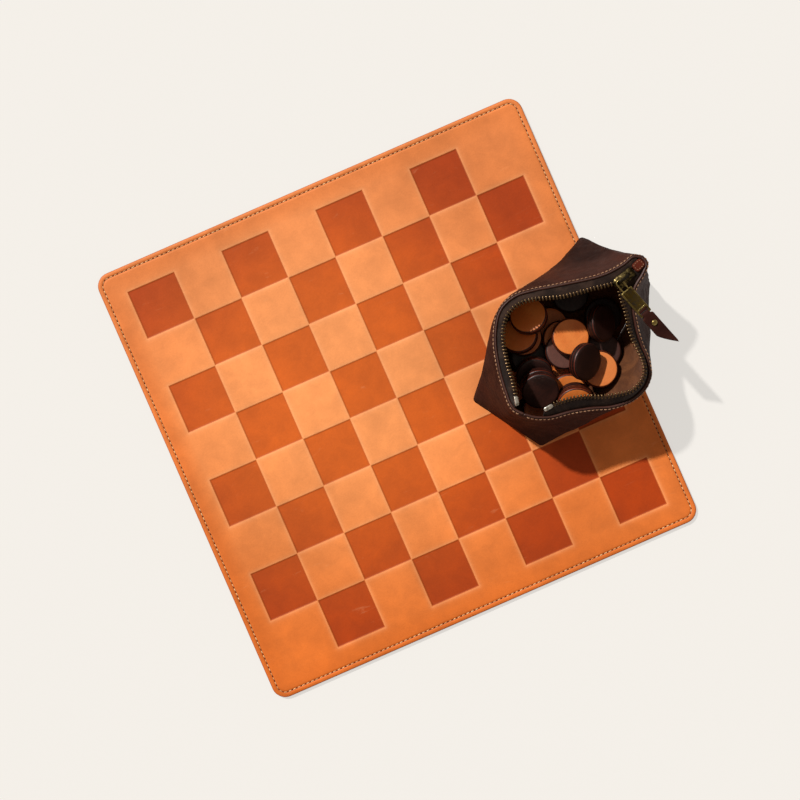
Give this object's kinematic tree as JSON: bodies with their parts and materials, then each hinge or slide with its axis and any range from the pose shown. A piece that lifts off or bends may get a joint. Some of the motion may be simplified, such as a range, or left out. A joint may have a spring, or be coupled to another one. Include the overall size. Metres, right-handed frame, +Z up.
{
  "type": "leather checkers set",
  "caption": "Square embossed leather board mat with an open zip pouch standing on it, holding round leather playing pieces in two colours.",
  "frame": {"origin": "centre of the mat's underside", "axes": "+X along the board's columns, +Y along its rows away from the player's side, +Z up out of the playing face"},
  "size_m": [0.4408, 0.4, 0.0827],
  "materials": {
    "mat_leather": "satin vegetable-tanned leather",
    "backing": "matte flesh side",
    "thread": "waxed thread",
    "pouch_leather": "oiled dark brown leather",
    "tape": "woven zip tape",
    "antique_brass": "antique brass",
    "bright_metal": "bright",
    "tab_leather": "satin",
    "tan_leather": "satin with a burnished dark edge",
    "brown_leather": "satin with a burnished dark edge"
  },
  "bodies": {
    "mat": {"mat_backing": "backing", "mat_top": "mat_leather", "mat_stitching": "thread"},
    "pouch": {"pouch_panel_left": "pouch_leather", "pouch_panel_right": "pouch_leather", "pouch_foot": "pouch_leather", "zip_tape_left": "tape", "zip_tape_right": "tape", "zip_teeth_left": "antique_brass", "zip_teeth_right": "antique_brass", "top_stop_left": "bright_metal", "top_stop_right": "bright_metal", "zip_end_tab": "tab_leather"},
    "slider": {"zip_slider": "antique_brass"},
    "pull": {"pull_plate": "antique_brass"},
    "strap": {"leather_pull": "pouch_leather", "pull_rivet": "antique_brass"},
    "tan_checker_01": {"tan_checker_01": "tan_leather"},
    "tan_checker_02": {"tan_checker_02": "tan_leather"},
    "tan_checker_03": {"tan_checker_03": "tan_leather"},
    "tan_checker_04": {"tan_checker_04": "tan_leather"},
    "tan_checker_05": {"tan_checker_05": "tan_leather"},
    "tan_checker_06": {"tan_checker_06": "tan_leather"},
    "tan_checker_07": {"tan_checker_07": "tan_leather"},
    "tan_checker_08": {"tan_checker_08": "tan_leather"},
    "tan_checker_09": {"tan_checker_09": "tan_leather"},
    "tan_checker_10": {"tan_checker_10": "tan_leather"},
    "tan_checker_11": {"tan_checker_11": "tan_leather"},
    "tan_checker_12": {"tan_checker_12": "tan_leather"},
    "brown_checker_01": {"brown_checker_01": "brown_leather"},
    "brown_checker_02": {"brown_checker_02": "brown_leather"},
    "brown_checker_03": {"brown_checker_03": "brown_leather"},
    "brown_checker_04": {"brown_checker_04": "brown_leather"},
    "brown_checker_05": {"brown_checker_05": "brown_leather"},
    "brown_checker_06": {"brown_checker_06": "brown_leather"},
    "brown_checker_07": {"brown_checker_07": "brown_leather"},
    "brown_checker_08": {"brown_checker_08": "brown_leather"},
    "brown_checker_09": {"brown_checker_09": "brown_leather"},
    "brown_checker_10": {"brown_checker_10": "brown_leather"},
    "brown_checker_11": {"brown_checker_11": "brown_leather"},
    "brown_checker_12": {"brown_checker_12": "brown_leather"}
  },
  "joints": [
    {"name": "pouch_lift", "type": "slide", "parent": "mat", "child": "pouch", "axis": [0, 0, 1], "range_m": [0, 0.15]},
    {"name": "zip_slide", "type": "slide", "parent": "pouch", "child": "slider", "axis": [-0.9457, -0.3251, 0], "range_m": [0, 0.004]},
    {"name": "pull_swing", "type": "hinge", "parent": "slider", "child": "pull", "pos_m": [0.20232, 0.01517, 0.0795], "axis": [-0.9494, -0.314, 0], "range_deg": [0, 25]},
    {"name": "strap_flex", "type": "hinge", "parent": "pull", "child": "strap", "pos_m": [0.21336, -0.0182, 0.0758], "axis": [-0.9494, -0.314, 0], "range_deg": [0, 50]},
    {"name": "tan_checker_01_lift", "type": "slide", "parent": "pouch", "child": "tan_checker_01", "axis": [0, 0, 1], "range_m": [0, 0.045]},
    {"name": "tan_checker_02_lift", "type": "slide", "parent": "pouch", "child": "tan_checker_02", "axis": [0, 0, 1], "range_m": [0, 0.02075]},
    {"name": "tan_checker_03_lift", "type": "slide", "parent": "pouch", "child": "tan_checker_03", "axis": [0, 0, 1], "range_m": [0, 0.01625]},
    {"name": "tan_checker_04_lift", "type": "slide", "parent": "pouch", "child": "tan_checker_04", "axis": [0, 0, 1], "range_m": [0, 0.023]},
    {"name": "tan_checker_05_lift", "type": "slide", "parent": "pouch", "child": "tan_checker_05", "axis": [0, 0, 1], "range_m": [0, 0.00477]},
    {"name": "tan_checker_06_lift", "type": "slide", "parent": "pouch", "child": "tan_checker_06", "axis": [0, 0, 1], "range_m": [0, 0.00433]},
    {"name": "tan_checker_07_lift", "type": "slide", "parent": "pouch", "child": "tan_checker_07", "axis": [0, 0, 1], "range_m": [0, 0.01175]},
    {"name": "tan_checker_08_lift", "type": "slide", "parent": "pouch", "child": "tan_checker_08", "axis": [0, 0, 1], "range_m": [0, 0.01175]},
    {"name": "tan_checker_09_lift", "type": "slide", "parent": "pouch", "child": "tan_checker_09", "axis": [0, 0, 1], "range_m": [0, 0.0041]},
    {"name": "tan_checker_10_lift", "type": "slide", "parent": "pouch", "child": "tan_checker_10", "axis": [0, 0, 1], "range_m": [0, 0.0041]},
    {"name": "tan_checker_11_lift", "type": "slide", "parent": "pouch", "child": "tan_checker_11", "axis": [0, 0, 1], "range_m": [0, 0.0041]},
    {"name": "tan_checker_12_lift", "type": "slide", "parent": "pouch", "child": "tan_checker_12", "axis": [0, 0, 1], "range_m": [0, 0.0041]},
    {"name": "brown_checker_01_lift", "type": "slide", "parent": "pouch", "child": "brown_checker_01", "axis": [0, 0, 1], "range_m": [0, 0.02075]},
    {"name": "brown_checker_02_lift", "type": "slide", "parent": "pouch", "child": "brown_checker_02", "axis": [0, 0, 1], "range_m": [0, 0.05225]},
    {"name": "brown_checker_03_lift", "type": "slide", "parent": "pouch", "child": "brown_checker_03", "axis": [0, 0, 1], "range_m": [0, 0.04775]},
    {"name": "brown_checker_04_lift", "type": "slide", "parent": "pouch", "child": "brown_checker_04", "axis": [0, 0, 1], "range_m": [0, 0.01175]},
    {"name": "brown_checker_05_lift", "type": "slide", "parent": "pouch", "child": "brown_checker_05", "axis": [0, 0, 1], "range_m": [0, 0.02525]},
    {"name": "brown_checker_06_lift", "type": "slide", "parent": "pouch", "child": "brown_checker_06", "axis": [0, 0, 1], "range_m": [0, 0.0185]},
    {"name": "brown_checker_07_lift", "type": "slide", "parent": "pouch", "child": "brown_checker_07", "axis": [0, 0, 1], "range_m": [0, 0.01175]},
    {"name": "brown_checker_08_lift", "type": "slide", "parent": "pouch", "child": "brown_checker_08", "axis": [0, 0, 1], "range_m": [0, 0.00455]},
    {"name": "brown_checker_09_lift", "type": "slide", "parent": "pouch", "child": "brown_checker_09", "axis": [0, 0, 1], "range_m": [0, 0.0041]},
    {"name": "brown_checker_10_lift", "type": "slide", "parent": "pouch", "child": "brown_checker_10", "axis": [0, 0, 1], "range_m": [0, 0.0041]},
    {"name": "brown_checker_11_lift", "type": "slide", "parent": "pouch", "child": "brown_checker_11", "axis": [0, 0, 1], "range_m": [0, 0.0041]},
    {"name": "brown_checker_12_lift", "type": "slide", "parent": "pouch", "child": "brown_checker_12", "axis": [0, 0, 1], "range_m": [0, 0.0041]}
  ],
  "couplings": [
    {"joint": "tan_checker_02_lift", "follows": "tan_checker_01_lift", "ratio": 0.45},
    {"joint": "tan_checker_03_lift", "follows": "tan_checker_01_lift", "ratio": 0.35},
    {"joint": "tan_checker_04_lift", "follows": "tan_checker_01_lift", "ratio": 0.5},
    {"joint": "tan_checker_05_lift", "follows": "tan_checker_01_lift", "ratio": 0.095},
    {"joint": "tan_checker_06_lift", "follows": "tan_checker_01_lift", "ratio": 0.085},
    {"joint": "tan_checker_07_lift", "follows": "tan_checker_01_lift", "ratio": 0.25},
    {"joint": "tan_checker_08_lift", "follows": "tan_checker_01_lift", "ratio": 0.25},
    {"joint": "tan_checker_09_lift", "follows": "tan_checker_01_lift", "ratio": 0.08},
    {"joint": "tan_checker_10_lift", "follows": "tan_checker_01_lift", "ratio": 0.08},
    {"joint": "tan_checker_11_lift", "follows": "tan_checker_01_lift", "ratio": 0.08},
    {"joint": "tan_checker_12_lift", "follows": "tan_checker_01_lift", "ratio": 0.08},
    {"joint": "brown_checker_01_lift", "follows": "tan_checker_01_lift", "ratio": 0.45},
    {"joint": "brown_checker_02_lift", "follows": "tan_checker_01_lift", "ratio": 1.15},
    {"joint": "brown_checker_03_lift", "follows": "tan_checker_01_lift", "ratio": 1.05},
    {"joint": "brown_checker_04_lift", "follows": "tan_checker_01_lift", "ratio": 0.25},
    {"joint": "brown_checker_05_lift", "follows": "tan_checker_01_lift", "ratio": 0.55},
    {"joint": "brown_checker_06_lift", "follows": "tan_checker_01_lift", "ratio": 0.4},
    {"joint": "brown_checker_07_lift", "follows": "tan_checker_01_lift", "ratio": 0.25},
    {"joint": "brown_checker_08_lift", "follows": "tan_checker_01_lift", "ratio": 0.09},
    {"joint": "brown_checker_09_lift", "follows": "tan_checker_01_lift", "ratio": 0.08},
    {"joint": "brown_checker_10_lift", "follows": "tan_checker_01_lift", "ratio": 0.08},
    {"joint": "brown_checker_11_lift", "follows": "tan_checker_01_lift", "ratio": 0.08},
    {"joint": "brown_checker_12_lift", "follows": "tan_checker_01_lift", "ratio": 0.08}
  ]
}
